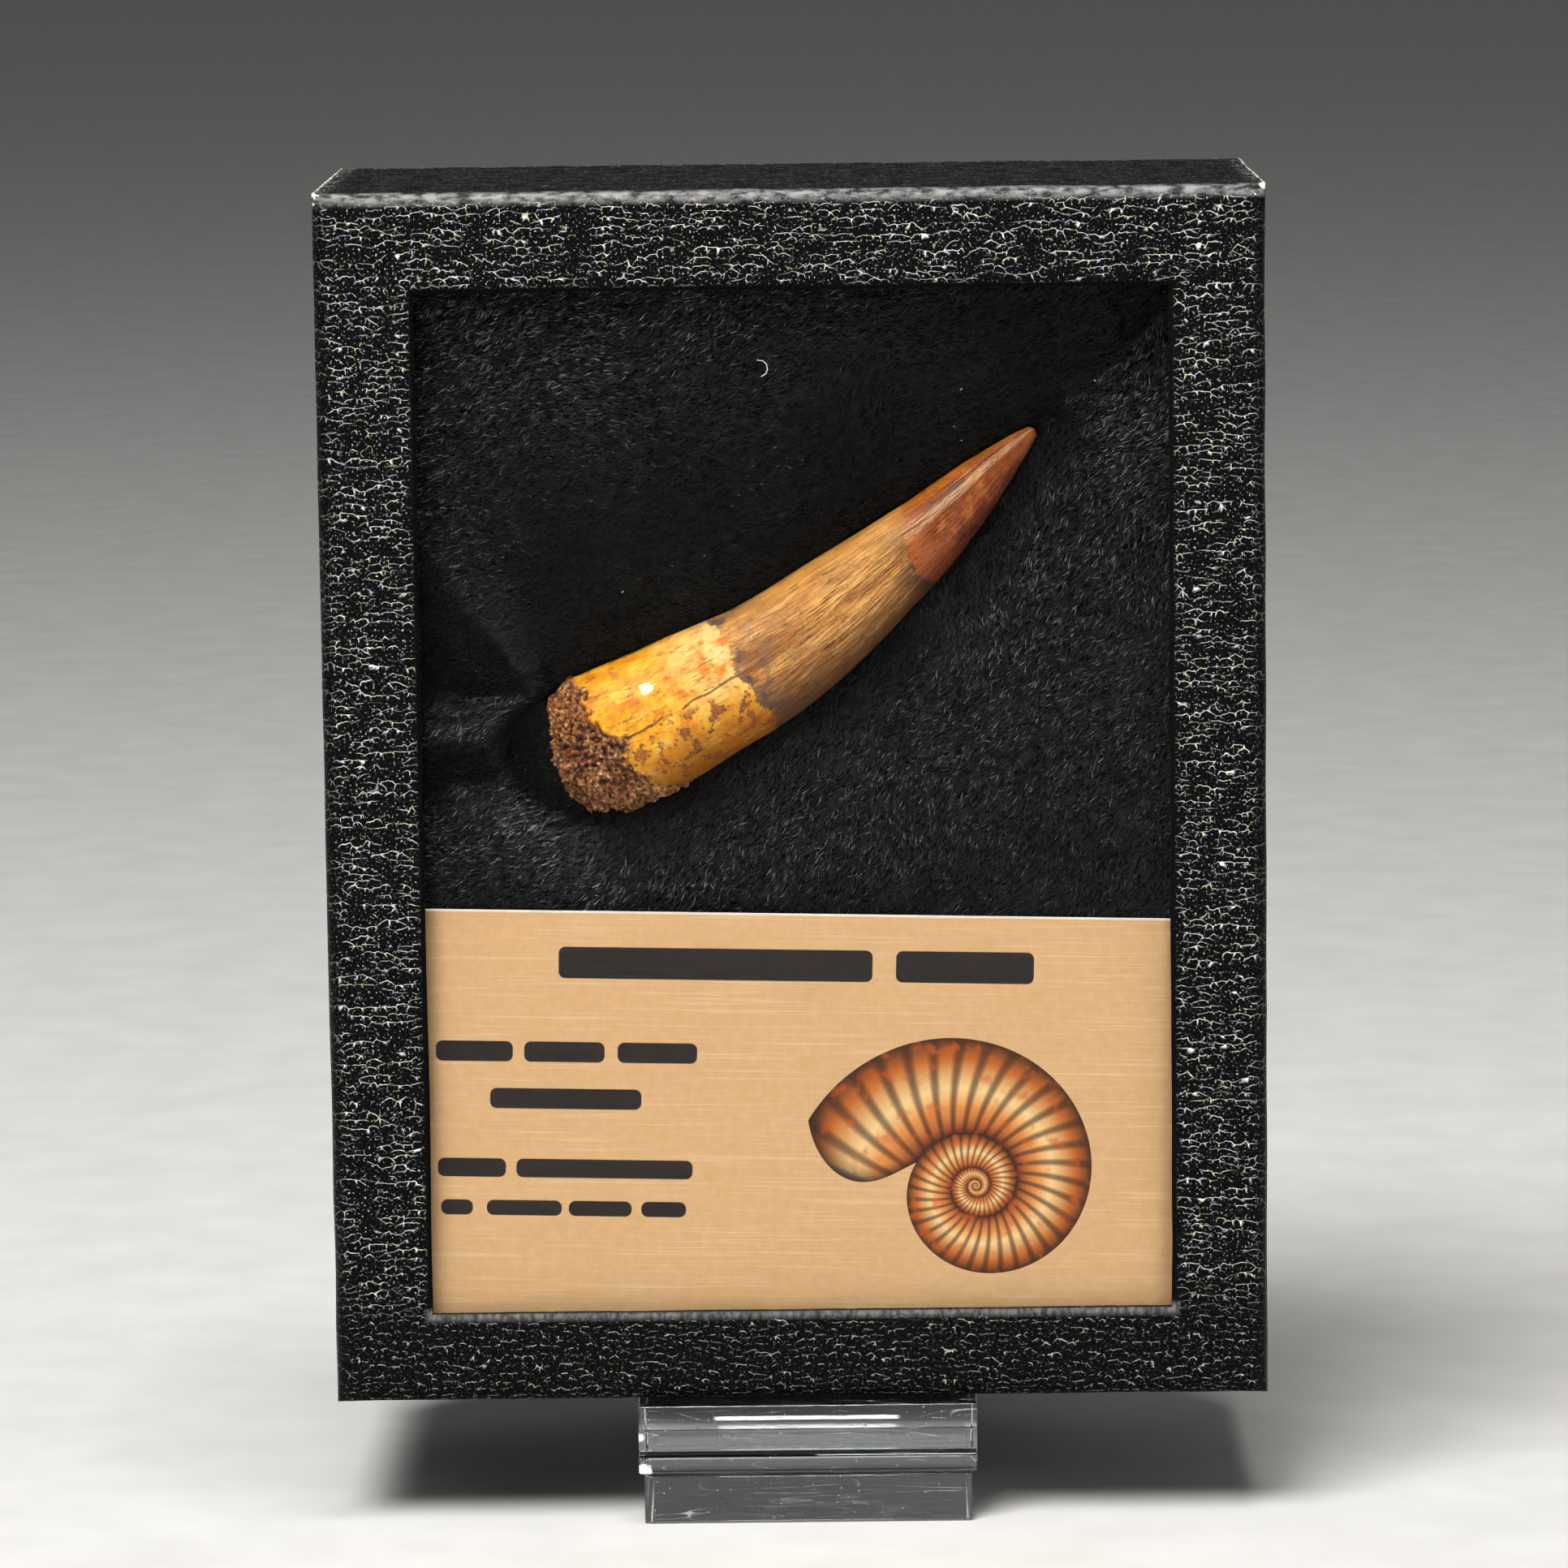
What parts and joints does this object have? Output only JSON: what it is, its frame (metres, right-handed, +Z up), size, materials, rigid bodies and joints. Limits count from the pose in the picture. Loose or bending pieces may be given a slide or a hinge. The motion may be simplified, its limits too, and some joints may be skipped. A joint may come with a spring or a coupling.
{
  "type": "fossil dinosaur tooth in display box on stand",
  "caption": "Curved conical fossil dinosaur tooth with a crusted root, on creased black plush in a windowed display box with a printed card, standing on a clear stand.",
  "frame": {"origin": "middle of the whole object's footprint, on the surface that the stand rests on", "axes": "+Z up, -Y out of the window towards the viewer, +X to the viewer's right"},
  "size_m": [0.108, 0.0624, 0.1543],
  "materials": {
    "leatherette": "cardboard wrapped in black grained leatherette paper",
    "clear_pane": "clear, thin, smooth",
    "black_plush": "short-pile black plush over soft padding",
    "fossil_tooth": "fossil enamel and dentine, brown crown, cream root, crusted break",
    "linen_card": "tan linen-embossed card, printed",
    "clear_acrylic": "clear cast acrylic, polished edges"
  },
  "bodies": {
    "root": {"lid": "leatherette", "window_pane": "clear_pane", "base_tray": "leatherette", "velvet_pad": "black_plush", "tooth": "fossil_tooth", "info_card": "linen_card", "stand_plate": "clear_acrylic", "stand_rest": "clear_acrylic", "stand_block": "clear_acrylic"}
  },
  "joints": []
}
